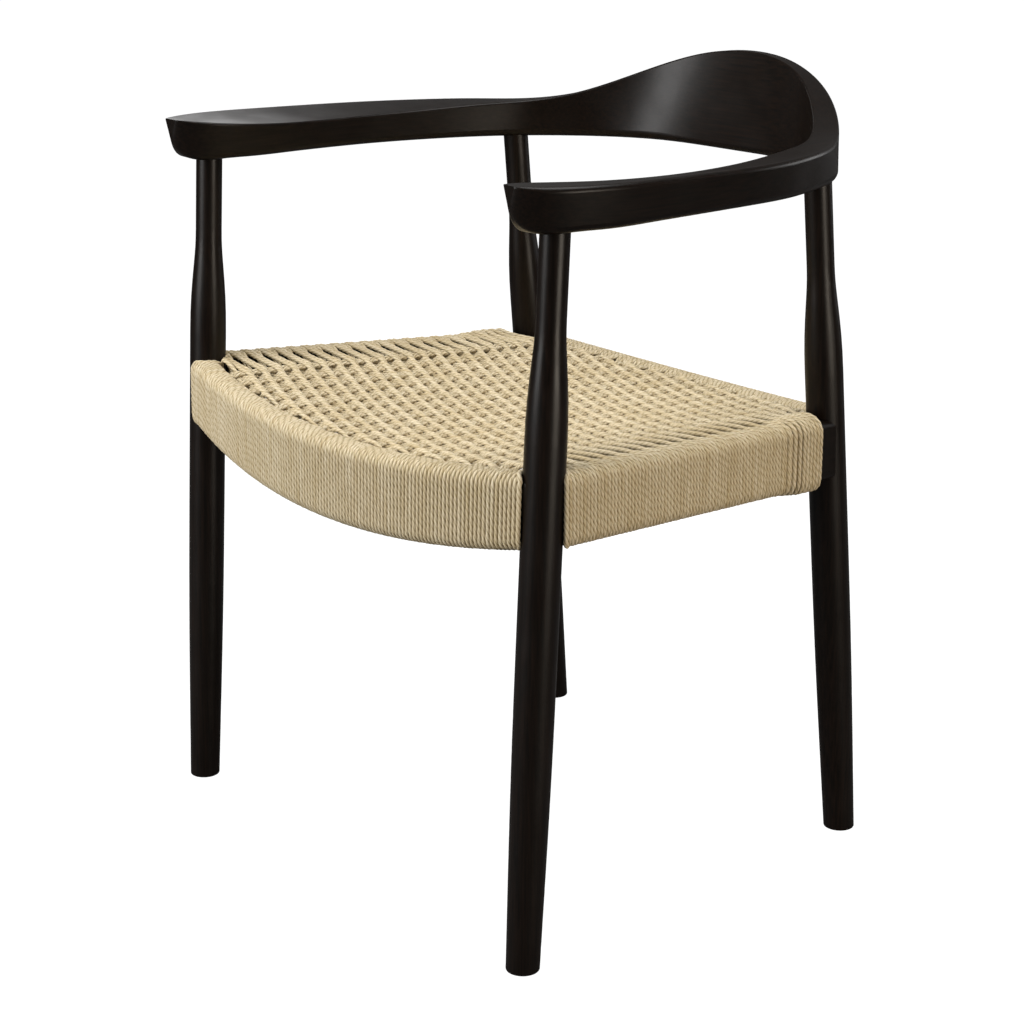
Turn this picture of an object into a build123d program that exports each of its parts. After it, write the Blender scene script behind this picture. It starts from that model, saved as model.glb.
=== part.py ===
from build123d import *
from math import cos, radians, sin, sqrt
import os

# Round-back armchair: four turned legs, one sculpted rail that is both arms and back,
# four seat rails wound with paper cord, and a seat woven from the same cord.
# Millimetres, +Z up, the front faces -Y, and left and right are as seen from the front.
# The origin is on the floor, in the middle of the chair's footprint. Nothing on the chair
# moves, so all the pieces belong to one body.

# ---------------------------------------------------------------- driving sizes
# Legs, turned from round stock: a slim foot, a straight belly that takes the seat rails,
# and a narrow neck that runs up into the arm rail. A leg's splay is how far its foot
# stands outwards and forwards (-) or backwards (+) of its head.
front_splay = (0.8, -33.1)
back_splay = (4.1, 60.4)
foot_radius = 15.3
belly_radius = 18.2
belly_bottom = 300
belly_top = 480
neck_radius = 13
neck_bottom = 585
neck_ease = 35
shoulder_ease = 55
foot_edge = 1.5
# The curve from foot to belly: how far the foot already flares out, and how far up the
# curve's two handles stand, as shares of the way to the belly.
foot_flare = 1.9
low_handle = 0.43
high_handle = 0.57
head_tenon_radius = 10
head_tenon_length = 24

# Plan of the arm rail's centre line: a superellipse round the back, then the arms, which
# close in slightly towards their tips.
rail_half_width = 282
rail_depth = 353
rail_roundness = 2.2
widest_y = -86.3
tip_y = -255.5
tip_close_in = 9
arm_run = widest_y - tip_y

# Heights of the arm rail. All but the first are measured up from its underside.
underside = 656
arm_rise = 38
crest_rise = 98
arm_scoop = 7.5
arm_outer_lift = 2.5
tip_lift = 3.5
inner_swell = 53
outer_swell = 50.5

# Where the legs meet the arm rail: an angle round from the middle of the crest, and a
# distance back from the tip of the arm.
back_leg_angle = 52.3
front_leg_setback = 46.2

# Sections of the rail round the back, by angle from the middle of the crest. Each has the
# width of its top and how far that stands outside the centre line, the same two for its
# foot, and how far the outer edge of the foot is raised.
bow_sections = (
    (0, 13, 0, 27, -18, 0),
    (10, 15, 0, 26, -15, 0),
    (20, 20, 0, 25, -9, 0),
    (30, 24, -2, 24, -5, 0),
    (40, 25, -3, 25, -3, 0),
    (50, 29, -2.5, 30, -1, 1),
    (60, 40, -2, 35, -1, 3),
    (70, 51, -1, 42, 0, 4),
    (80, 58, 0, 47, 0, 5),
)
# Sections of the arm, by distance from its tip, with the widths of top and foot and the
# same rise of the foot's outer edge. The last one is where the round of the tip begins.
arm_sections = (
    (arm_run, 65, 52, 4.5),
    (126, 71, 56, 3.5),
    (83, 74, 58, 2.5),
)
# The round of the tip, by angle along its plan, and how far its end leans in under the top.
tip_angles = (24, 44, 62, 78)
tip_lean = 12
tip_foot_share = 0.4
top_inner_radius = 2
top_outer_radius = 4
foot_corner_radius = 8
# Where a section is narrower than this many foot radii, its corners are eased less.
full_corner_width = 2.6

# Finger joints between the arms and the crest, just behind the back legs.
joint_angle = 43
finger_length = 24
finger_pitch = 12

# Seat rails. Heights are of the bare wood, at the legs.
rail_thickness = 21.5
rail_offset = 6
rail_edge_radius = 7
front_top = 451.5
front_bottom = 392.5
front_bow = 31
front_top_dip = 19
front_bottom_dip = 30
back_top = 433.5
back_bottom = 375
back_bow = 33
back_dip = 13

# Tongues of the seat rails, mitred where they meet inside a leg.
tongue_thickness = 9
tongue_inset = 12
tongue_grip = 8
glue_gap = 0.1
mitre_gap = 0.4

# Paper cord, and how near to each leg it is wound on the rails.
cord_diameter = 4.25
soft_gap = 0.3
bowed_wrap_gap = 7
side_wrap_front_gap = 9
side_wrap_back_gap = 34

# The woven seat is two cords thick. It lies this far below the crown of the wound rails,
# and hangs a little lower still along the middle.
seat_drop = 1.5
seat_slack = 2

# Bent nails on the inner faces of the seat rails, which hold the cord.
nail_width = 2
nail_in_wood = 11
nail_stand_off = 9
nail_hook = 8
nail_height = 15
warp_count = 17
front_warp_pitch = 28
back_warp_pitch = 23.5
side_nail_count = 20
side_nail_pitch = 17
side_nail_start = 24

# ---------------------------------------------------------------- worked out from the sizes
up = Vector(0, 0, 1)
corner_radii = (foot_corner_radius, foot_corner_radius, top_outer_radius, top_inner_radius)
seat_thickness = 2 * cord_diameter
nail_slit = nail_width + 2 * soft_gap
joint_heights = {"front": (front_top + front_bottom) / 2, "back": (back_top + back_bottom) / 2}
sides = (("left", -1), ("right", 1))
parts = []
os.makedirs("parts", exist_ok=True)


def finish(name, piece):
    """Name a finished piece and write it."""
    piece.label = name
    parts.append(piece)
    export_step(piece, f"parts/{name}.step")


# ---------------------------------------------------------------- arm rail
def bow_plane(angle, side=1):
    """Upright plane across the rail, at an angle round from the middle of the crest."""
    x = rail_half_width * sin(radians(angle)) ** (2 / rail_roundness)
    t = cos(radians(angle)) ** (2 / rail_roundness)
    across = (x / rail_half_width) ** (rail_roundness - 1) / rail_half_width
    along = t ** (rail_roundness - 1) / rail_depth
    outward = Vector(side * across, along, 0).normalized()
    place = Vector(side * x, widest_y + rail_depth * t, underside)
    return Plane(origin=place, x_dir=outward, z_dir=outward.cross(up))


def arm_plane(setback, side=1):
    """Upright plane across the arm, at a distance back from its tip."""
    forward = 1 - setback / arm_run
    x = rail_half_width - tip_close_in * forward**2
    outward = Vector(side, -2 * tip_close_in * forward / arm_run, 0).normalized()
    return Plane(origin=(side * x, tip_y + setback, underside), x_dir=outward, z_dir=outward.cross(up))


def swell(angle, reach):
    """How far the top has risen from arm to crest: 0 at the back leg, 1 in the middle."""
    return 0.5 * (1 + cos(radians(180 * min(angle / reach, 1))))


def bow_heights(angle):
    """Heights of the inner and outer edges of the top round the back."""
    lift = crest_rise - arm_rise
    past_leg = max(angle - inner_swell, 0) / (90 - inner_swell)
    inner = arm_rise + lift * swell(angle, inner_swell) - arm_scoop * sin(radians(90 * past_leg))
    outer = arm_rise + lift * swell(angle, outer_swell) + arm_outer_lift * past_leg
    return inner, outer


def arm_heights(setback):
    """Heights of the inner and outer edges of the top along an arm."""
    forward = 1 - setback / arm_run
    inner = arm_rise - arm_scoop + (arm_scoop + tip_lift) * forward**2
    outer = arm_rise + arm_outer_lift + (tip_lift - arm_outer_lift) * forward
    return inner, outer


def rail_section(plane, heights, top, foot, inner_lift, outer_lift, top_shift=0.0, foot_shift=0.0):
    """One section of the rail: a block with a leaning foot and four eased corners."""
    inner, outer = heights
    ease = min(1, min(top, foot, inner - inner_lift) / (full_corner_width * foot_corner_radius))
    with BuildSketch(plane) as section:
        with BuildLine():
            FilletPolyline(
                (foot_shift - foot / 2, inner_lift),
                (foot_shift + foot / 2, outer_lift),
                (top_shift + top / 2, outer),
                (top_shift - top / 2, inner),
                radius=[ease * r for r in corner_radii],
                close=True,
            )
        make_face()
    return section.sketch


def tip_section(angle, side):
    """A section through the round of the tip, whose end leans in under its top edge."""
    run, top, foot, rise = arm_sections[-1]
    setback = run * (1 - sin(radians(angle)))
    narrow = cos(radians(angle))
    lift = arm_rise * max(0, 1 - setback / tip_lean)
    foot_share = 1 - max(0, setback - tip_lean) / (run - tip_lean)
    foot_width = max(foot * sqrt(1 - foot_share**2), tip_foot_share * top * narrow)
    place = arm_plane(setback, side)
    return rail_section(place, arm_heights(setback), top * narrow, foot_width, lift, lift + rise * narrow)


def side_sections(side):
    """Sections from the tip of one arm to the middle of the crest."""
    sections = [tip_section(angle, side) for angle in reversed(tip_angles)]
    for setback, top, foot, rise in reversed(arm_sections):
        sections.append(rail_section(arm_plane(setback, side), arm_heights(setback), top, foot, 0, rise))
    for angle, top, top_shift, foot, foot_shift, rise in reversed(bow_sections):
        place = bow_plane(angle, side)
        sections.append(rail_section(place, bow_heights(angle), top, foot, 0, rise, top_shift, foot_shift))
    return sections


def joint_cutter():
    """Everything on the right arm's side of its finger joint."""
    place = bow_plane(joint_angle)
    armward = place.z_dir
    teeth = range(-1, int(crest_rise / finger_pitch) + 1)
    zigzag = [(finger_length / 2 * (-1) ** i, i * finger_pitch) for i in teeth]
    far = 2 * rail_depth
    with BuildPart() as cutter:
        with BuildSketch(Plane(origin=place.origin, x_dir=armward, z_dir=armward.cross(up))):
            with BuildLine():
                Polyline(*zigzag, (far, zigzag[-1][1]), (far, zigzag[0][1]), close=True)
            make_face()
        extrude(amount=rail_depth, both=True)
    return cutter.part


# ---------------------------------------------------------------- places on the legs
def leg_head(row, side):
    """Middle of a leg where it meets the underside of the arm rail."""
    if row == "front":
        return arm_plane(front_leg_setback, side).origin
    return bow_plane(back_leg_angle, side).origin


def leg_foot(row, side):
    """Middle of a leg on the floor."""
    splay = front_splay if row == "front" else back_splay
    return leg_head(row, side) + Vector(side * splay[0], splay[1], -underside)


def leg_axis(row, side):
    return (leg_head(row, side) - leg_foot(row, side)).normalized()


def leg_joint(row, side):
    """Middle of a leg at the height where the seat rails meet it."""
    share = joint_heights[row] / underside
    return leg_foot(row, side) + (leg_head(row, side) - leg_foot(row, side)) * share


def leg_blank(row, side, spare=0.0):
    """The turned leg with no mortises, its neck running a little way into the arm rail."""
    foot = leg_foot(row, side)
    axis = leg_axis(row, side)
    across = up.cross(axis).normalized()
    below = -belly_radius
    neck_top = (underside + foot_corner_radius) / axis.Z
    toe = foot_radius + spare
    belly = belly_radius + spare
    neck = neck_radius + spare
    with BuildPart() as blank:
        with BuildSketch(Plane(origin=foot, x_dir=across, z_dir=across.cross(axis))):
            with BuildLine():
                Polyline((0, neck_top), (0, below), (toe, below), (toe, 0))
                Bezier(
                    (toe, 0),
                    (toe + foot_flare, low_handle * belly_bottom),
                    (belly, high_handle * belly_bottom),
                    (belly, belly_bottom),
                )
                Line((belly, belly_bottom), (belly, belly_top))
                Bezier(
                    (belly, belly_top),
                    (belly, belly_top + shoulder_ease),
                    (neck, neck_bottom - neck_ease),
                    (neck, neck_bottom),
                )
                Polyline((neck, neck_bottom), (neck, neck_top), (0, neck_top))
            make_face()
        revolve(axis=Axis(foot, axis))
        split(bisect_by=Plane.XY, keep=Keep.TOP)
    return blank.part


def head_tenon(row, side, spare=0.0):
    """Round tenon on the top of a leg, or with some spare the bore that takes it."""
    axis = leg_axis(row, side)
    root = leg_head(row, side) - axis * neck_radius
    with BuildPart() as tenon:
        with BuildSketch(Plane(origin=root, z_dir=axis)):
            Circle(head_tenon_radius + spare)
        extrude(amount=neck_radius + head_tenon_length + spare)
    return tenon.part


# ---------------------------------------------------------------- seat rails
def sag(x, half_span, depth):
    """How far a shallow arc has dropped below its middle, at x along its span."""
    radius = (half_span**2 + depth**2) / (2 * depth)
    return radius - sqrt(radius**2 - x**2)


def bowed_rail(end, bow, top, bottom, top_dip, bottom_dip, grow=0.0):
    """A rail sawn from a plank in two directions: bowed in plan, dipped from the side."""
    x, y = end.X, end.Y
    half = rail_thickness / 2 + grow
    low = bottom - grow
    high = top + grow
    with BuildPart() as rail:
        with BuildSketch(Plane.XY.offset(low - bottom_dip - half)):
            with BuildLine():
                ThreePointArc((-x, y - half), (0, y + bow - half), (x, y - half))
                Line((x, y - half), (x, y + half))
                ThreePointArc((x, y + half), (0, y + bow + half), (-x, y + half))
                Line((-x, y + half), (-x, y - half))
            make_face()
        extrude(amount=high - low + bottom_dip + 2 * half)
        with BuildSketch(Plane.XZ):
            with BuildLine():
                ThreePointArc((-x, low), (0, low - bottom_dip), (x, low))
                Line((x, low), (x, high))
                ThreePointArc((x, high), (0, high - top_dip), (-x, high))
                Line((-x, high), (-x, low))
            make_face()
        extrude(amount=2 * rail_depth, both=True, mode=Mode.INTERSECT)
        fillet(rail.edges().filter_by(lambda edge: edge.length > x), rail_edge_radius + grow)
    return rail.part


def rail_end(row):
    """Right-hand end of the line of the front or back rail."""
    outward = -rail_offset if row == "front" else rail_offset
    return leg_joint(row, 1) + Vector(0, outward, 0)


def rail_bow(row):
    """How far the middle of the front or back rail stands behind its ends."""
    return -front_bow if row == "front" else back_bow


def cross_blank(row, grow=0.0):
    if row == "front":
        heights = (front_top, front_bottom, front_top_dip, front_bottom_dip)
    else:
        heights = (back_top, back_bottom, back_dip, back_dip)
    return bowed_rail(rail_end(row), rail_bow(row), *heights, grow)


def side_run(side):
    """From the front leg to the back leg, level, along the line of a side rail."""
    run = leg_joint("back", side) - leg_joint("front", side)
    return Vector(run.X, run.Y, 0)


def side_plane(side):
    """Upright plane along the middle of a side rail: x from the front leg, y up from the floor."""
    along = side_run(side).normalized()
    outward = Vector(along.Y, -along.X, 0) * side
    start = leg_joint("front", side) + outward * rail_offset
    return Plane(origin=(start.X, start.Y, 0), x_dir=along, z_dir=along.cross(up))


def side_blank(side, grow=0.0):
    """A straight side rail, which falls a little towards the back."""
    length = side_run(side).length
    with BuildPart() as rail:
        with BuildSketch(side_plane(side)):
            with BuildLine():
                Polyline(
                    (0, front_bottom - grow),
                    (length, back_bottom - grow),
                    (length, back_top + grow),
                    (0, front_top + grow),
                    close=True,
                )
            make_face()
        extrude(amount=rail_thickness / 2 + grow, both=True)
        fillet(rail.edges().filter_by(lambda edge: edge.length > length / 2), rail_edge_radius + grow)
    return rail.part


def cross_direction(row, side):
    """Which way a bowed rail sets off from a leg, towards the middle of the chair."""
    half_span = rail_end(row).X
    bow = rail_bow(row)
    return Vector(-side * (half_span**2 - bow**2), 2 * half_span * bow, 0).normalized()


def long_direction(row, side):
    """Which way a side rail sets off from a leg."""
    along = side_run(side).normalized()
    return along if row == "front" else along * -1


def tongue(row, side, along, other, spare=0.0):
    """Tongue on the end of a seat rail, mitred against the other rail's tongue inside the
    leg, or with some spare the mortise that takes it."""
    low = (front_bottom if row == "front" else back_bottom) + tongue_inset - spare
    high = (front_top if row == "front" else back_top) - tongue_inset + spare
    middle = leg_joint(row, side)
    mitre = (along - other).normalized()
    gap = -spare if spare else mitre_gap / 2
    with BuildPart() as piece:
        with BuildSketch(Plane(origin=(middle.X, middle.Y, low), x_dir=along, z_dir=up)):
            Rectangle(2 * (belly_radius + tongue_grip), tongue_thickness + 2 * spare)
        extrude(amount=high - low)
        split(bisect_by=Plane(origin=middle + mitre * gap, z_dir=mitre), keep=Keep.TOP)
    return piece.part


def cross_tongue(row, side, spare=0.0):
    return tongue(row, side, cross_direction(row, side), long_direction(row, side), spare)


def long_tongue(row, side, spare=0.0):
    return tongue(row, side, long_direction(row, side), cross_direction(row, side), spare)


# ---------------------------------------------------------------- nails
def cross_nail_places(row):
    """Where the cord nails stand on the inner face of the front or back rail."""
    end = rail_end(row)
    bow = rail_bow(row)
    if row == "front":
        inward, pitch, bottom, dip = 1, front_warp_pitch, front_bottom, front_bottom_dip
    else:
        inward, pitch, bottom, dip = -1, back_warp_pitch, back_bottom, back_dip
    places = []
    for i in range(warp_count):
        x = (i - (warp_count - 1) / 2) * pitch
        y = end.Y + bow + inward * (rail_thickness / 2 + sag(x, end.X, abs(bow)))
        z = bottom - dip + sag(x, end.X, dip) + nail_height
        places.append(Plane(origin=(x, y, z), x_dir=(1, 0, 0), z_dir=(0, inward, 0)))
    return places


def side_nail_places(side):
    """Where the cord nails stand on the inner face of a side rail."""
    line = side_plane(side)
    inward = Vector(line.x_dir.Y, -line.x_dir.X, 0) * -side
    slope = (back_bottom - front_bottom) / side_run(side).length
    places = []
    for i in range(side_nail_count):
        d = side_nail_start + i * side_nail_pitch
        place = line.origin + line.x_dir * d + inward * (rail_thickness / 2)
        z = front_bottom + slope * d + nail_height
        places.append(Plane(origin=(place.X, place.Y, z), x_dir=line.x_dir, z_dir=inward))
    return places


def nail_row(places):
    """A row of bent nails, driven into the rail with their hooks turned up."""
    with BuildPart() as nails:
        for place in places:
            root = place.origin - place.z_dir * nail_in_wood
            hook_root = place.origin + place.z_dir * nail_stand_off - up * nail_width / 2
            with BuildSketch(Plane(origin=root, x_dir=place.x_dir, z_dir=place.z_dir)):
                Rectangle(nail_width, nail_width)
            extrude(amount=nail_in_wood + nail_stand_off)
            with BuildSketch(Plane(origin=hook_root, x_dir=place.x_dir, z_dir=up)):
                Rectangle(nail_width, nail_width)
            extrude(amount=nail_hook)
    return nails.part


# ---------------------------------------------------------------- make the pieces
with BuildPart() as arm_rail:
    loft(side_sections(1) + side_sections(-1)[-2::-1])

cutter = joint_cutter()

with BuildPart() as right_arm:
    add(arm_rail.part)
    add(cutter, mode=Mode.INTERSECT)
    for row in ("front", "back"):
        add(head_tenon(row, 1, glue_gap), mode=Mode.SUBTRACT)
finish("right_arm", right_arm.part)

with BuildPart() as left_arm:
    add(mirror(right_arm.part, about=Plane.YZ, mode=Mode.PRIVATE))
finish("left_arm", left_arm.part)

with BuildPart() as back_crest:
    add(arm_rail.part)
    add(cutter, mode=Mode.SUBTRACT)
    add(mirror(cutter, about=Plane.YZ, mode=Mode.PRIVATE), mode=Mode.SUBTRACT)
finish("back_crest", back_crest.part)

for row in ("front", "back"):
    for name, side in sides:
        with BuildPart() as leg:
            add(leg_blank(row, side))
            fillet(leg.faces().sort_by(Axis.Z)[0].edges(), foot_edge)
            add(arm_rail.part, mode=Mode.SUBTRACT)
            add(head_tenon(row, side))
            add(cross_tongue(row, side, glue_gap), mode=Mode.SUBTRACT)
            add(long_tongue(row, side, glue_gap), mode=Mode.SUBTRACT)
        finish(f"{row}_{name}_leg", leg.part)

for row in ("front", "back"):
    nails = nail_row(cross_nail_places(row))
    finish(f"{row}_rail_nails", nails)
    with BuildPart() as seat_rail:
        add(cross_blank(row))
        for name, side in sides:
            add(leg_blank(row, side), mode=Mode.SUBTRACT)
            add(cross_tongue(row, side))
        add(nails, mode=Mode.SUBTRACT)
    finish(f"{row}_seat_rail", seat_rail.part)
    wrap_reach = rail_end(row).X - bowed_wrap_gap
    with BuildPart() as rail_cord:
        add(cross_blank(row, cord_diameter))
        add(cross_blank(row), mode=Mode.SUBTRACT)
        split(bisect_by=Plane.YZ.offset(wrap_reach), keep=Keep.BOTTOM)
        split(bisect_by=Plane.YZ.offset(-wrap_reach), keep=Keep.TOP)
        for name, side in sides:
            add(leg_blank(row, side, soft_gap), mode=Mode.SUBTRACT)
        with Locations(*cross_nail_places(row)):
            Box(nail_slit, nail_slit, 4 * cord_diameter, mode=Mode.SUBTRACT)
    finish(f"{row}_rail_cord", rail_cord.part)

for name, side in sides:
    line = side_plane(side)
    nails = nail_row(side_nail_places(side))
    finish(f"{name}_rail_nails", nails)
    with BuildPart() as seat_rail:
        add(side_blank(side))
        for row in ("front", "back"):
            add(leg_blank(row, side), mode=Mode.SUBTRACT)
            add(long_tongue(row, side))
        add(nails, mode=Mode.SUBTRACT)
    finish(f"{name}_seat_rail", seat_rail.part)
    start = line.origin + line.x_dir * side_wrap_front_gap
    stop = line.origin + line.x_dir * (side_run(side).length - side_wrap_back_gap)
    with BuildPart() as rail_cord:
        add(side_blank(side, cord_diameter))
        add(side_blank(side), mode=Mode.SUBTRACT)
        split(bisect_by=Plane(origin=start, z_dir=line.x_dir), keep=Keep.TOP)
        split(bisect_by=Plane(origin=stop, z_dir=line.x_dir), keep=Keep.BOTTOM)
        for row in ("front", "back"):
            add(leg_blank(row, side, soft_gap), mode=Mode.SUBTRACT)
        with Locations(*side_nail_places(side)):
            Box(nail_slit, nail_slit, 4 * cord_diameter, mode=Mode.SUBTRACT)
    finish(f"{name}_rail_cord", rail_cord.part)

front_end = rail_end("front")
back_end = rail_end("back")
front_middle = Vector(0, front_end.Y - front_bow, 0)
back_middle = Vector(0, back_end.Y + back_bow, 0)
seat_lift = cord_diameter - seat_drop
with BuildPart() as woven_seat:
    for middle, height, dip in (
        (front_middle, front_top + seat_lift, front_top_dip + seat_slack),
        (back_middle, back_top + seat_lift, back_dip + seat_slack),
    ):
        with BuildSketch(Plane(origin=middle, x_dir=(1, 0, 0), z_dir=(0, -1, 0))):
            with BuildLine():
                x = front_end.X
                low = height - seat_thickness
                ThreePointArc((-x, height), (0, height - dip), (x, height))
                Line((x, height), (x, low))
                ThreePointArc((x, low), (0, low - dip), (-x, low))
                Line((-x, low), (-x, height))
            make_face()
    loft(ruled=True)
    with BuildSketch(Plane.XY.offset(back_bottom)):
        with BuildLine():
            ThreePointArc((-front_end.X, front_end.Y), front_middle, (front_end.X, front_end.Y))
            Line((front_end.X, front_end.Y), (back_end.X, back_end.Y))
            ThreePointArc((back_end.X, back_end.Y), back_middle, (-back_end.X, back_end.Y))
            Line((-back_end.X, back_end.Y), (-front_end.X, front_end.Y))
        make_face()
    extrude(amount=underside - back_bottom, mode=Mode.INTERSECT)
    reach = cord_diameter + soft_gap
    for name, side in sides:
        add(side_blank(side, reach), mode=Mode.SUBTRACT)
    for row in ("front", "back"):
        add(cross_blank(row, reach), mode=Mode.SUBTRACT)
        for name, side in sides:
            add(leg_blank(row, side, soft_gap), mode=Mode.SUBTRACT)
finish("woven_seat", woven_seat.part)

print("pieces:", len(parts))
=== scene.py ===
from math import atan2, cos, pi, radians, sin, sqrt

import bpy
import numpy as np
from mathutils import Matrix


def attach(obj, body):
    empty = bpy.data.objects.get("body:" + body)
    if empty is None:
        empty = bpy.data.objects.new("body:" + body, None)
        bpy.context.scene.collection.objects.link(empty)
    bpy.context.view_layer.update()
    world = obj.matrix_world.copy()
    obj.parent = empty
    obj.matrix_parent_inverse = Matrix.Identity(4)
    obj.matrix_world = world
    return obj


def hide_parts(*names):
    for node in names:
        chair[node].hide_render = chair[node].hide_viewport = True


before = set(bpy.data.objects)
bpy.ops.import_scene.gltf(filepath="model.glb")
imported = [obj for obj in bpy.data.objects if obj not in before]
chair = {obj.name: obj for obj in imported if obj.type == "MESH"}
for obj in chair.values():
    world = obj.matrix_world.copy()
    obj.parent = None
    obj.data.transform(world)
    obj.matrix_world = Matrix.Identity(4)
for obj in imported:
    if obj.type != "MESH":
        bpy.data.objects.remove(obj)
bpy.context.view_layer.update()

# ---------------------------------------------------------------- arm rail
# The two arms and the crest are sawn from beech planks, finger-jointed into one round rail,
# shaped by hand, stained espresso and lacquered, and glued on the heads of the legs. Sizes
# are in metres, here and in every section.
grain_width = 0.002
grain_length = 0.09
shine_patch = 0.04


def srgb(hex_colour):
    """Linear colour of an sRGB hex value."""
    channels = [int(hex_colour[i : i + 2], 16) / 255 for i in (1, 3, 5)]
    linear = [c / 12.92 if c <= 0.04045 else ((c + 0.055) / 1.055) ** 2.4 for c in channels]
    return (*linear, 1.0)


def add_node(tree, kind, settings=None, **sockets):
    """Add a node. A socket is given a value, or the output socket that feeds it. It goes by
    its name, or by its number after an underscore."""
    node = tree.nodes.new(kind)
    for name, value in (settings or {}).items():
        setattr(node, name, value)
    for name, value in sockets.items():
        key = int(name[1:]) if name[1:].isdigit() else name.replace("_", " ")
        if isinstance(value, bpy.types.NodeSocket):
            tree.links.new(value, node.inputs[key])
        else:
            node.inputs[key].default_value = value
    return node


def new_material(name):
    """An empty material and its node tree."""
    material = bpy.data.materials.new(name)
    material.use_nodes = True
    material.node_tree.nodes.clear()
    return material, material.node_tree


def stained_beech(name, grain_along):
    """Espresso-stained beech under satin lacquer: nearly black, with a faint red-brown grain
    along one axis, 0 to 2, and a soft, slightly uneven shine. The pores of beech are too
    fine to show, so the grain is drawn coarser."""
    material, tree = new_material(name)
    place = add_node(tree, "ShaderNodeTexCoord")
    scale = [1 / grain_width] * 3
    scale[grain_along] = 1 / grain_length
    stretched = add_node(
        tree, "ShaderNodeMapping", Vector=place.outputs["Object"], Scale=scale
    )
    grain = add_node(
        tree,
        "ShaderNodeTexNoise",
        Vector=stretched.outputs["Vector"],
        Scale=1.0,
        Detail=3.0,
        Roughness=0.6,
    )
    colour = add_node(tree, "ShaderNodeValToRGB", Fac=grain.outputs["Fac"])
    colour.color_ramp.elements[0].position = 0.35
    colour.color_ramp.elements[0].color = srgb("#080503")
    colour.color_ramp.elements[1].position = 0.7
    colour.color_ramp.elements[1].color = srgb("#150d08")
    patches = add_node(
        tree,
        "ShaderNodeTexNoise",
        Vector=place.outputs["Object"],
        Scale=1 / shine_patch,
        Detail=2.0,
        Roughness=0.5,
    )
    shine = add_node(
        tree,
        "ShaderNodeMapRange",
        Value=patches.outputs["Fac"],
        From_Min=0.3,
        From_Max=0.7,
        To_Min=0.3,
        To_Max=0.38,
    )
    relief = add_node(
        tree, "ShaderNodeBump", Strength=0.12, Distance=0.0002, Height=grain.outputs["Fac"]
    )
    surface = add_node(
        tree,
        "ShaderNodeBsdfPrincipled",
        Base_Color=colour.outputs["Color"],
        Roughness=shine.outputs["Result"],
        Normal=relief.outputs["Normal"],
        IOR=1.5,
        Specular_IOR_Level=0.16,
    )
    add_node(tree, "ShaderNodeOutputMaterial", Surface=surface.outputs["BSDF"])
    return material


def dress(node_name, material):
    """Give a CAD node its finish."""
    mesh = chair[node_name].data
    mesh.materials.clear()
    mesh.materials.append(material)


arm_beech = stained_beech("stained_beech_arm", 1)
crest_beech = stained_beech("stained_beech_crest", 0)
dress("left_arm", arm_beech)
dress("right_arm", arm_beech)
dress("back_crest", crest_beech)

# ---------------------------------------------------------------- legs
# Four legs turned from beech, stained and lacquered as the arm rail is, with the grain
# running up them. Round tenons on their heads go into the arm rail.
leg_beech = stained_beech("stained_beech_leg", 2)
for row in ("front", "back"):
    for side in ("left", "right"):
        dress(f"{row}_{side}_leg", leg_beech)

# ---------------------------------------------------------------- seat rails
# Four beech rails, stained as the rest and almost hidden under the cord. Their mitred
# tongues are glued into the legs.
dress("front_seat_rail", crest_beech)
dress("back_seat_rail", crest_beech)
dress("left_seat_rail", arm_beech)
dress("right_seat_rail", arm_beech)


# ---------------------------------------------------------------- cord nails
# Bent nails of drawn steel wire on the inner faces of the seat rails. They hold the cord,
# and only their hooks show, from below.
def drawn_steel():
    """Drawn steel wire: plain light grey metal with a soft shine from the drawing die."""
    material, tree = new_material("drawn_steel_wire")
    surface = add_node(
        tree,
        "ShaderNodeBsdfPrincipled",
        Base_Color=srgb("#b4b2ae"),
        Metallic=1.0,
        Roughness=0.35,
    )
    add_node(tree, "ShaderNodeOutputMaterial", Surface=surface.outputs["BSDF"])
    return material


nail_steel = drawn_steel()
for rail in ("front", "back", "left", "right"):
    dress(f"{rail}_rail_nails", nail_steel)

# ---------------------------------------------------------------- cord wound on the front rail
# Unbleached three-ply paper cord, a little over 4 mm thick, wound turn against turn round
# the bowed front rail. Between two pairs of warp cords there are four turns.

# The cord: its plies stand out a little and the grooves between them are deeper, and they
# wind round it once in the lay length.
cord_radius = 0.00213
cord_sides = 9
ply_count = 3
ply_crest = 0.00007
ply_groove = 0.0003
lay_length = 0.020
creases_around = 26
crease_length = 0.006
tone_length = 0.12


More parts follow.
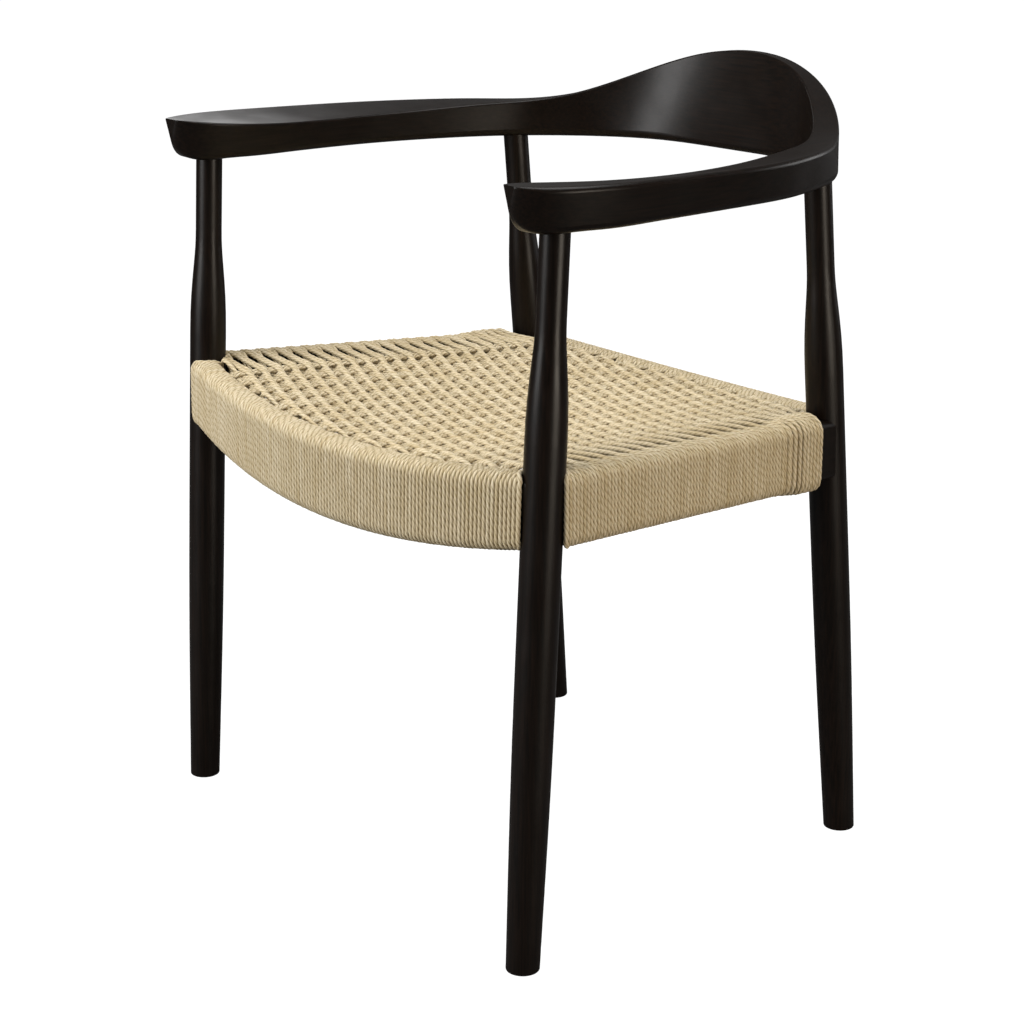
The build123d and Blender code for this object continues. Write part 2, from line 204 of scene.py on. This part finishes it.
def paper_cord():
    """Twisted paper cord: matt and straw-coloured, with painted shade in the grooves between
    its three plies, fine creases along each ply, and a tone that drifts along the cord."""
    material, tree = new_material("twisted_paper_cord")
    along = add_node(tree, "ShaderNodeUVMap", {"uv_map": "cord_uv"})
    axes = add_node(tree, "ShaderNodeSeparateXYZ", Vector=along.outputs["UV"])
    around = add_node(
        tree,
        "ShaderNodeMath",
        {"operation": "MULTIPLY"},
        _0=axes.outputs["X"],
        _1=ply_count * pi,
    )
    wave = add_node(tree, "ShaderNodeMath", {"operation": "SINE"}, _0=around.outputs["Value"])
    ply = add_node(tree, "ShaderNodeMath", {"operation": "ABSOLUTE"}, _0=wave.outputs["Value"])
    crease_place = add_node(
        tree,
        "ShaderNodeMapping",
        Vector=along.outputs["UV"],
        Scale=(creases_around, 1 / crease_length, 1),
    )
    creases = add_node(
        tree,
        "ShaderNodeTexNoise",
        Vector=crease_place.outputs["Vector"],
        Scale=1.0,
        Detail=2.0,
    )
    drift_place = add_node(
        tree, "ShaderNodeMapping", Vector=along.outputs["UV"], Scale=(0, 1 / tone_length, 1)
    )
    drift = add_node(
        tree,
        "ShaderNodeTexNoise",
        Vector=drift_place.outputs["Vector"],
        Scale=1.0,
        Detail=2.0,
    )
    # Painted shade: the colour darkens towards each groove between the plies, where shade
    # falls.
    painted_groove_shade = add_node(tree, "ShaderNodeValToRGB", Fac=ply.outputs["Value"])
    painted_groove_shade.color_ramp.elements[0].position = 0.05
    painted_groove_shade.color_ramp.elements[0].color = srgb("#a69673")
    painted_groove_shade.color_ramp.elements[1].position = 0.65
    painted_groove_shade.color_ramp.elements[1].color = srgb("#d8ccb2")
    tone = add_node(tree, "ShaderNodeValToRGB", Fac=drift.outputs["Fac"])
    tone.color_ramp.elements[0].position = 0.3
    tone.color_ramp.elements[0].color = srgb("#e6dfcf")
    tone.color_ramp.elements[1].position = 0.7
    tone.color_ramp.elements[1].color = srgb("#ffffff")
    fleck = add_node(tree, "ShaderNodeValToRGB", Fac=creases.outputs["Fac"])
    fleck.color_ramp.elements[0].position = 0.3
    fleck.color_ramp.elements[0].color = srgb("#dcd4c4")
    fleck.color_ramp.elements[1].position = 0.6
    fleck.color_ramp.elements[1].color = srgb("#ffffff")
    # The painted groove shade, times the tone that drifts along the cord.
    painted_shade_and_tone = add_node(
        tree,
        "ShaderNodeMix",
        {"data_type": "RGBA", "blend_type": "MULTIPLY"},
        _0=1.0,
        _6=painted_groove_shade.outputs["Color"],
        _7=tone.outputs["Color"],
    )
    colour = add_node(
        tree,
        "ShaderNodeMix",
        {"data_type": "RGBA", "blend_type": "MULTIPLY"},
        _0=1.0,
        _6=painted_shade_and_tone.outputs[2],
        _7=fleck.outputs["Color"],
    )
    relief = add_node(
        tree, "ShaderNodeBump", Strength=0.5, Distance=0.0002, Height=creases.outputs["Fac"]
    )
    surface = add_node(
        tree,
        "ShaderNodeBsdfPrincipled",
        Base_Color=colour.outputs[2],
        Roughness=0.8,
        Normal=relief.outputs["Normal"],
        IOR=1.4,
    )
    add_node(tree, "ShaderNodeOutputMaterial", Surface=surface.outputs["BSDF"])
    return material


cord_paper = paper_cord()


def cord_rings(path, across, metres):
    """Rings of points round a path, three lobes each, that turn with the lay of the cord.
    across is a direction off the path, and metres is the length of cord up to each point."""
    tangent = np.gradient(path, axis=0)
    tangent /= np.linalg.norm(tangent, axis=1)[:, None]
    first = across - tangent * np.sum(across * tangent, axis=1)[:, None]
    first /= np.linalg.norm(first, axis=1)[:, None]
    second = np.cross(tangent, first)
    column = np.arange(cord_sides)
    turn = column[None, :] * 2 * pi / cord_sides - 2 * pi * metres[:, None] / lay_length
    in_groove = column % (cord_sides // ply_count) == 0
    radius = np.where(in_groove, cord_radius - ply_groove, cord_radius + ply_crest)
    ring = np.cos(turn)[:, :, None] * first[:, None, :]
    ring += np.sin(turn)[:, :, None] * second[:, None, :]
    return path[:, None, :] + radius[None, :, None] * ring


def cord_object(name, across, paths):
    """One object of several lengths of cord, each along its own path. The UV map has the way
    round the twisted cord in U, with a groove at every third, and metres of cord in V."""
    points, faces, uvs, caps = [], [], [], []
    start, wound_off = 0, 0.0
    column = np.arange(cord_sides)
    for path in paths:
        path = np.asarray(path, float)
        count = len(path)
        steps = np.linalg.norm(np.diff(path, axis=0), axis=1)
        metres = wound_off + np.concatenate([[0.0], np.cumsum(steps)])
        points.append(cord_rings(path, across, metres).reshape(-1, 3))
        ring_start = start + np.arange(count - 1)[:, None] * cord_sides
        low, low_next = ring_start + column, ring_start + (column + 1) % cord_sides
        high, high_next = low + cord_sides, low_next + cord_sides
        faces.append(np.stack([low, low_next, high_next, high], axis=-1).reshape(-1, 4))
        u_low = np.broadcast_to(column / cord_sides, (count - 1, cord_sides))
        u_high = u_low + 1 / cord_sides
        v_low = np.broadcast_to(metres[:-1, None], u_low.shape)
        v_high = np.broadcast_to(metres[1:, None], u_low.shape)
        corner_u = np.stack([u_low, u_high, u_high, u_low], axis=-1)
        corner_v = np.stack([v_low, v_low, v_high, v_high], axis=-1)
        uvs.append(np.stack([corner_u, corner_v], axis=-1).reshape(-1, 2))
        last = start + (count - 1) * cord_sides
        caps.append(list(range(start + cord_sides - 1, start - 1, -1)))
        caps.append(list(range(last, last + cord_sides)))
        start += count * cord_sides
        wound_off = metres[-1]
    mesh = bpy.data.meshes.new(name)
    sides = np.concatenate(faces).tolist()
    mesh.from_pydata(np.concatenate(points).tolist(), [], sides + caps)
    layer = mesh.uv_layers.new(name="cord_uv")
    flat = np.concatenate(uvs + [np.zeros((len(caps) * cord_sides, 2))])
    layer.data.foreach_set("uv", flat.ravel())
    mesh.shade_smooth()
    mesh.materials.append(cord_paper)
    cords = bpy.data.objects.new(name, mesh)
    bpy.context.scene.collection.objects.link(cords)
    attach(cords, "root")
    return cords


# The bare rail: half its span between the legs, the middle line's place and bow, heights at
# the legs and how much lower its edges lie in the middle.
front_rail = {
    "half_span": 0.27755,
    "line": -0.22707,
    "bow": -0.031,
    "top": 0.4515,
    "top_dip": 0.019,
    "bottom": 0.3925,
    "bottom_dip": 0.030,
}
rail_half_thickness = 0.01075
rail_edge_radius = 0.007
nail_height = 0.017
leg_radius = 0.0182
front_leg = np.array([0.27755, -0.22107])
back_leg = np.array([0.22873, 0.16384])

# Pairs of warp cords, counted from the middle one out to each side, and the turns of cord
# between two pairs and outside the last pair.
warp_count = 17
outer_warp = warp_count // 2
front_warp_pitch = 0.028
front_turns_between = 4
front_end_turns = 9

# Steps along one turn: in each of the four bends, and on the straights from the nail down,
# under, up, over, and down to the nail again. A cord leaves for the seat past the top.
bend_steps = 6
straight_steps = (4, 3, 19, 3, 15)
loop_steps = 4 * bend_steps + sum(straight_steps)
leaving_step = 3 * bend_steps + sum(straight_steps[:4]) + 1

sideways = np.array([1.0, 0.0, 0.0])


def rail_loop(bottom, top, layer=0.0):
    """Once round a rail, in steps of some 2 mm: how far out and how high the middle of the
    cord lies, from the nail on the inner face down, under, up, over and down again."""
    reach = rail_half_thickness - rail_edge_radius
    radius = rail_edge_radius + cord_radius + layer
    low, high = bottom + rail_edge_radius, top - rail_edge_radius
    corners = ((-reach, low), (reach, low), (reach, high), (-reach, high))
    loop = [np.array([[-reach - radius, bottom + nail_height]])]
    for quarter, (out, height) in enumerate(corners):
        turn = pi + (quarter + np.arange(bend_steps + 1) / bend_steps) * pi / 2
        bend = np.stack([out + radius * np.cos(turn), height + radius * np.sin(turn)], axis=1)
        loop.append(np.linspace(loop[-1][-1], bend[0], straight_steps[quarter] + 1)[1:-1])
        loop.append(bend)
    loop.append(np.linspace(loop[-1][-1], loop[0][0], straight_steps[4] + 1)[1:-1])
    return np.concatenate(loop)


def bowed_place(rail, x):
    """Middle line of a bowed rail at x: its place in plan, its outward direction, and the
    heights of the bare rail."""
    share = 1 - (x / rail["half_span"]) ** 2
    slope = -2 * rail["bow"] * x / rail["half_span"] ** 2
    outward = np.array([-slope, 1.0]) * (1 if rail["bow"] > 0 else -1)
    outward /= np.linalg.norm(outward)
    place = np.array([x, rail["line"] + rail["bow"] * share])
    bottom = rail["bottom"] - rail["bottom_dip"] * share
    top = rail["top"] - rail["top_dip"] * share
    return place, outward, bottom, top


def keep_off_legs(point):
    """Cord that would run into a leg goes round it."""
    room = leg_radius + cord_radius
    for leg in (front_leg, back_leg):
        for side in (1, -1):
            gap = point[:2] - leg * (side, 1)
            distance = np.linalg.norm(gap)
            if distance < room:
                point[:2] = leg * (side, 1) + gap * room / distance
    return point


def bowed_turns(rail, start, pitch, last_step):
    """A stretch of cord wound round a bowed rail, from the nail at x = start to a step."""
    path = []
    for step in range(last_step + 1):
        x = start + pitch * step / loop_steps
        place, outward, bottom, top = bowed_place(rail, x)
        out, height = rail_loop(bottom, top)[step % loop_steps]
        path.append(keep_off_legs(np.array([*(place + outward * out), height])))
    return path


def wound_rail(rail, warp_pitch, turns_between, end_turns):
    """All the turns on a bowed rail. They leave room for the pairs of warp cords, each of
    which takes the place of two turns."""
    pitch = warp_pitch / (turns_between + 2)
    stretches = []
    for number in range(-outer_warp, outer_warp):
        stretches.append((number * warp_pitch + pitch, turns_between))
    stretches.append((outer_warp * warp_pitch + pitch, end_turns))
    stretches.append((-outer_warp * warp_pitch - pitch * (1 + end_turns), end_turns))
    return [bowed_turns(rail, start, pitch, turns * loop_steps) for start, turns in stretches]


front_wraps = cord_object(
    "front_rail_turns",
    sideways,
    wound_rail(front_rail, front_warp_pitch, front_turns_between, front_end_turns),
)
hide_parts("front_rail_cord")

# ---------------------------------------------------------------- cord wound on the back rail
# The same cord on the back rail, which bows the other way and is shorter, so there are only
# three turns between two pairs of warp cords.
back_rail = {
    "half_span": 0.22873,
    "line": 0.16984,
    "bow": 0.033,
    "top": 0.4335,
    "top_dip": 0.013,
    "bottom": 0.375,
    "bottom_dip": 0.013,
}
back_warp_pitch = 0.0235
back_turns_between = 3
back_end_turns = 6
back_wraps = cord_object(
    "back_rail_turns",
    sideways,
    wound_rail(back_rail, back_warp_pitch, back_turns_between, back_end_turns),
)
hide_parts("back_rail_cord")

# ---------------------------------------------------------------- warp cords
# Seventeen pairs of cord stretched from front to back, wider apart at the front. Each cord
# is wound once round the front and the back rail and caught on a nail there.

# Rows of weft, and the room that the turns on the front and back rails take from them.
row_pitch = 0.0085
border_room = 0.0162
front_edge = front_rail["line"] + front_rail["bow"]
back_edge = back_rail["line"] + back_rail["bow"]
first_row = front_edge + border_room
last_row = back_edge - border_room

# The middle of the weave: how far it hangs, how far it lies over the bare rails, and how far
# the higher side rails pull it up.
seat_slack = 0.004
weave_lift = 0.0005
side_lift = 0.0026
side_lift_run = 0.11

# A warp cord rises and dips by the wave, lies by the offset beside the middle of its pair,
# and comes to its height and its place within these runs of the rail.
warp_wave = 0.0012
warp_offset = 0.0027
settle_run = 0.010
gather_run = 0.020
warp_steps_in_row = 4


def ease(share):
    """Smooth step from 0 to 1."""
    share = np.clip(share, 0, 1)
    return share * share * (3 - 2 * share)


def settle(share):
    """From 0 to 1, steep at first and level at the end."""
    return 1 - (1 - np.clip(share, 0, 1)) ** 2


def warp_pitch_at(y):
    """Distance from one pair of warp cords to the next."""
    back = (y - front_edge) / (back_edge - front_edge)
    return front_warp_pitch * (1 - back) + back_warp_pitch * back


def seat_height(x, y):
    """Middle of the weave, stretched between the crowns of the rails, a little slack, and
    pulled up near the sides, whose rails lie higher."""
    back = (y - front_edge) / (back_edge - front_edge)
    front_hang = 1 - (x / front_rail["half_span"]) ** 2
    back_hang = 1 - (x / back_rail["half_span"]) ** 2
    front_level = front_rail["top"] + weave_lift - front_rail["top_dip"] * front_hang
    back_level = back_rail["top"] + weave_lift - back_rail["top_dip"] * back_hang
    slack = seat_slack * front_hang * 4 * back * (1 - back)
    pulled = side_lift * (x / (outer_warp * warp_pitch_at(y))) ** 4
    pulled *= ease(np.minimum(y - front_edge, back_edge - y) / side_lift_run)
    return front_level * (1 - back) + back_level * back - slack + pulled


def warp_end(number, beside, rail, warp_pitch, turns_between):
    """The turn round one rail that a warp cord ends in."""
    spacing = warp_pitch / (turns_between + 2)
    start = number * warp_pitch + (beside - 1) * spacing / 2
    return bowed_turns(rail, start, spacing, leaving_step)


def warp_cord(number, beside):
    """One cord of a pair. The pairs are counted from the middle; beside is -1 or 1."""
    parity = -1 if number % 2 else 1
    front_turn = warp_end(number, beside, front_rail, front_warp_pitch, front_turns_between)
    back_turn = warp_end(number, beside, back_rail, back_warp_pitch, back_turns_between)
    start, stop = front_turn[-1], back_turn[-1]
    count = int(round((stop[1] - start[1]) / (row_pitch / warp_steps_in_row)))
    y = np.linspace(start[1], stop[1], count + 1)[1:-1]
    near = np.minimum(y - start[1], stop[1] - y)
    end = np.where((y - start[1] < stop[1] - y)[:, None], start, stop)
    straight = number * warp_pitch_at(y) + beside * warp_offset
    x = end[:, 0] + (straight - end[:, 0]) * ease(near / gather_run)
    woven = seat_height(x, y) - warp_wave * parity * np.cos(pi * (y - first_row) / row_pitch)
    z = end[:, 2] + (woven - end[:, 2]) * settle(near / settle_run)
    return front_turn + list(np.stack([x, y, z], axis=1)) + back_turn[::-1]


warp_paths = []
for number in range(-outer_warp, outer_warp + 1):
    for beside in (-1, 1):
        warp_paths.append(warp_cord(number, beside))
warp_cords = cord_object("warp_cords", sideways, warp_paths)
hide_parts("woven_seat")

# ---------------------------------------------------------------- weft cords
# Pairs of cord woven from side to side, over one pair of warp cords and under the next, and
# beaten tight. Each is wound once round the side rails, and that covers them. The last rows
# are wound over the ones before them, short of the back leg, and make its corner thick.

# A pair rises and dips by the wave, and rocks and shifts as it crosses between warp pairs.
weft_wave = 0.0029
weft_tilt = radians(36)
weft_slant = 0.0009
weft_steps_in_pitch = 12

# Beside the outermost warp pair, rows that lie over it run straight to the rail as ropes.
# Those under it dive first, which leaves a slot between two ropes. Both rock on the way,
# and most of all near the rail.
rope_lift = 0.0012
rope_tilt = radians(-30)
rope_leaving_step = leaving_step + 1
dive_drop = 0.006
dive_tilt = radians(70)
dive_leaving_step = leaving_step + 4
tilt_near_rail = 1.6

# The side rail lies outside the line of the legs. A row that can come this near to it is
# wound on it. The others end under the turns of the front or back rail, bent down.
side_offset = 0.006
winding_room = 0.02
end_run = 0.009
end_drop = 0.008

# The pile of turns before the back leg: where it starts, and the run in which it comes to
# its full lean. A row bends from its line in the weave to its place in the pile near its end.
pile_start = 0.070
pile_run = 0.040
pile_lean = radians(55)
lean_run = 0.050

side_direction = (back_leg - front_leg) / np.linalg.norm(back_leg - front_leg)
side_outward = np.array([side_direction[1], -side_direction[0]])
backwards = np.array([0.0, 1.0, 0.0])


def side_rail_at(y):
    """Middle line of the right side rail at y, and the heights of the bare rail there."""
    share = (y - front_leg[1]) / (back_leg[1] - front_leg[1])
    x = front_leg[0] + share * (back_leg[0] - front_leg[0]) + side_offset / side_outward[0]
    bottom = front_rail["bottom"] + share * (back_rail["bottom"] - front_rail["bottom"])
    top = front_rail["top"] + share * (back_rail["top"] - front_rail["top"])
    return x, bottom, top


def inner_reach(y):
    """How far from the middle a row can run before it meets the front or the back rail, or
    a metre where it meets neither."""
    reach = 1.0
    for rail, side in ((front_rail, 1), (back_rail, -1)):
        depth = (y - rail["line"] - side * border_room) / rail["bow"]
        if depth > 0:
            reach = min(reach, rail["half_span"] * sqrt(max(0.0, 1 - depth)))
    return reach


def side_turn(y, beside, parity):
    """The turn round the right side rail that a weft cord ends in, and its place along the
    rail. In the pile, turns lie closer and the second cord of a pair lies on the first."""
    lean = pile_lean * min(max((y - pile_start) / pile_run, 0), 1)
    wound_y = min(y, pile_start) + pile_run * sin(lean) / pile_lean
    wound_y += max(y - pile_start - pile_run, 0) * cos(pile_lean)
    layer = (1 + beside) * cord_radius * sin(lean)
    rail_x, bottom, top = side_rail_at(wound_y)
    last_step = rope_leaving_step if parity > 0 else dive_leaving_step
    turn = []
    for out, height in rail_loop(bottom, top, layer)[:last_step]:
        if parity > 0 and height > top:
            height += rope_lift * ease((rail_half_thickness - out) / rail_half_thickness)
        turn.append(keep_off_legs(np.array([rail_x + out / side_outward[0], wound_y, height])))
    return turn, wound_y


def weft_cord(row, beside):
    """One cord of a pair; beside is -1 or 1."""
    row_y = first_row + row * row_pitch
    y = row_y + beside * cord_radius
    pitch = warp_pitch_at(row_y)
    parity = -1 if row % 2 else 1
    outermost = outer_warp * pitch
    wound = inner_reach(row_y) >= side_rail_at(y)[0] - winding_room
    if wound:
        turn, wound_y = side_turn(y, beside, parity)
        reach = turn[-1][0]
    else:
        wound_y = y
        reach = inner_reach(y)
    count = max(4, int(round(2 * reach / (pitch / weft_steps_in_pitch))))
    x = np.linspace(-reach, reach, count + 1)
    from_end = reach - np.abs(x)
    past_warps = np.abs(x) - outermost
    woven_x = np.clip(x, -outermost, outermost) if wound else x
    along = y + (wound_y - y) * ease(1 - from_end / lean_run)
    height = seat_height(woven_x, along)

    sway = np.sin(pi * x / pitch) * (1 - ease(past_warps / (pitch / 2)))
    beyond = np.clip(past_warps / max(reach - outermost, pitch), 0, 1)
    border_tilt = dive_tilt if parity < 0 else rope_tilt * (x > 0)
    tilt = border_tilt * np.sin(pi * beyond**tilt_near_rail) - weft_tilt * parity * sway
    along += beside * cord_radius * (np.cos(tilt) - 1) - weft_slant * parity * sway
    height += beside * cord_radius * np.sin(tilt)
    height += weft_wave * parity * np.cos(pi * woven_x / pitch)
    if not wound:
        height -= end_drop * (1 - ease(from_end / end_run))
        return list(np.stack([x, along, height], axis=1))

    if parity < 0:
        height -= dive_drop * ease(past_warps * 2 / pitch + 1)
        settled = settle(from_end / settle_run)
    else:
        settled = 1 - beyond
    height += (turn[-1][2] - height[0]) * (1 - settled)
    between = list(np.stack([x, along, height], axis=1))[1:-1]
    mirrored = [point * (-1, 1, 1) for point in turn]
    return mirrored + between + turn[::-1]


# The rows are shared out among four objects, none of which has too many faces.
row_count = int((last_row - first_row) / row_pitch) + 1
weft_pieces = 4
for piece in range(weft_pieces):
    weft_paths = []
    for row in range(piece * row_count // weft_pieces, (piece + 1) * row_count // weft_pieces):
        for beside in (-1, 1):
            weft_paths.append(weft_cord(row, beside))
    weft = cord_object(f"weft_cords_{piece + 1}", backwards, weft_paths)
    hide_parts("left_rail_cord", "right_rail_cord")

# ---------------------------------------------------------------- floor, light and camera
# A plain white studio floor and air, which hardly light the chair themselves, soft boxes
# above it and on four sides, and the camera.
air_light = 0.15
bpy.ops.object.select_all(action="DESELECT")
bpy.ops.mesh.primitive_plane_add(size=60)
floor = bpy.context.object
floor.name = "studio_floor"
floor_white, floor_tree = new_material("studio_floor_white")
floor_seen = add_node(floor_tree, "ShaderNodeLightPath")
floor_surface = add_node(
    floor_tree,
    "ShaderNodeBsdfPrincipled",
    Base_Color=srgb("#606060"),
    Roughness=0.9,
    Emission_Color=srgb("#ffffff"),
    Emission_Strength=floor_seen.outputs["Is Camera Ray"],
)
add_node(floor_tree, "ShaderNodeOutputMaterial", Surface=floor_surface.outputs["BSDF"])
floor.data.materials.append(floor_white)


def soft_lamp(name, place, aim, size, watts, colour="#ffffff"):
    """A rectangular soft box, of a width and a height, that faces a point."""
    lamp = bpy.data.lights.new(name, "AREA")
    lamp.shape = "RECTANGLE"
    lamp.size, lamp.size_y = size
    lamp.energy = watts
    lamp.color = srgb(colour)[:3]
    box = bpy.data.objects.new(name, lamp)
    bpy.context.scene.collection.objects.link(box)
    box.location = place
    run = np.array(aim) - np.array(place)
    box.rotation_euler = (atan2(np.hypot(run[0], run[1]), -run[2]), 0, atan2(-run[0], run[1]))


seat_middle = (0, 0, 0.4)
back_corner = (0.2, 0.2, 0.7)
under_arms = (0, 0, 0.6)
warm_white = "#fff2e0"
soft_lamp("overhead_soft_box", (0.35, 0.0, 2.5), seat_middle, size=(1.8, 1.6), watts=60)
soft_lamp("front_soft_box", (-0.6, -2.8, 1.3), seat_middle, size=(1.4, 1.8), watts=88)
soft_lamp("side_soft_box", (2.8, 0.3, 0.3), seat_middle, (1.2, 0.7), 38, warm_white)
soft_lamp("far_soft_box", (-3.1, 1.2, 1.15), under_arms, size=(1.2, 1.0), watts=6)
soft_lamp("back_soft_box", (0.5, 3.0, 1.0), back_corner, size=(1.6, 1.0), watts=15)

air = bpy.data.worlds.new("studio_air")
bpy.context.scene.world = air
air.use_nodes = True
air.node_tree.nodes.clear()
air_seen = add_node(air.node_tree, "ShaderNodeLightPath")
air_glow = add_node(
    air.node_tree,
    "ShaderNodeMapRange",
    Value=air_seen.outputs["Is Camera Ray"],
    To_Min=air_light,
    To_Max=1.0,
)
air_white = add_node(
    air.node_tree,
    "ShaderNodeBackground",
    Color=srgb("#ffffff"),
    Strength=air_glow.outputs["Result"],
)
add_node(air.node_tree, "ShaderNodeOutputWorld", Surface=air_white.outputs["Background"])
bpy.context.scene.view_settings.view_transform = "Standard"

lens = bpy.data.cameras.new("studio_camera")
lens.lens = 80.39
lens.sensor_width = 36
camera = bpy.data.objects.new("studio_camera", lens)
bpy.context.scene.collection.objects.link(camera)
camera.location = (1.7237, -1.3648, 0.9726)
camera.rotation_euler = (radians(73.31), 0, radians(52.47))
bpy.context.scene.camera = camera
